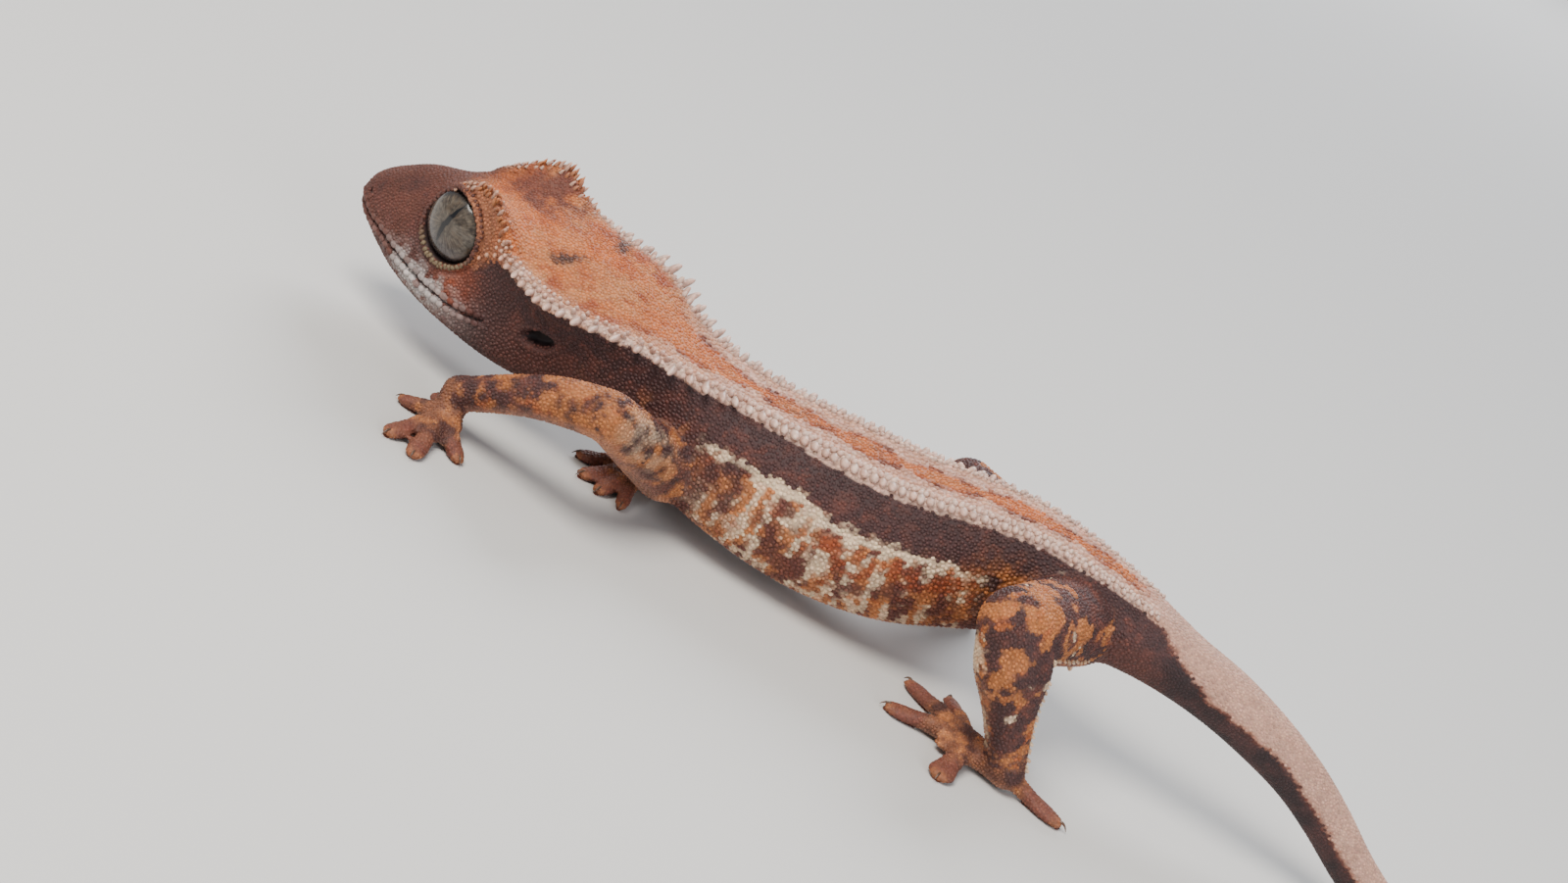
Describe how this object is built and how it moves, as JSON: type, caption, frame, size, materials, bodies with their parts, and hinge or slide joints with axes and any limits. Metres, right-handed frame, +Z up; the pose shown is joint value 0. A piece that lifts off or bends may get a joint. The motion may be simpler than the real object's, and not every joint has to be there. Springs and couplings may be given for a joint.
{
  "type": "crested gecko",
  "caption": "Life-size still model of a young crested gecko standing on a level surface, with a wide crested head, padded toes and a slim tail laid down behind.",
  "frame": {"origin": "under the middle of the animal's bounding box, on the surface it stands on", "axes": "+Z up, -X the way the animal faces, -Y its left side"},
  "size_m": [0.1014, 0.0296, 0.0151],
  "materials": {
    "skin": "matt granular skin",
    "eye": "wet gloss"
  },
  "bodies": {
    "root": {"head": "skin", "eye_left": "eye", "eye_right": "eye", "neck": "skin", "chest": "skin", "belly": "skin", "hips": "skin", "tail_base": "skin", "tail_middle": "skin", "tail_tip": "skin", "left_upper_arm": "skin", "left_forearm": "skin", "left_hand": "skin", "left_thigh": "skin", "left_shank": "skin", "left_foot": "skin", "right_upper_arm": "skin", "right_forearm": "skin", "right_hand": "skin", "right_thigh": "skin", "right_shank": "skin", "right_foot": "skin"}
  },
  "joints": []
}
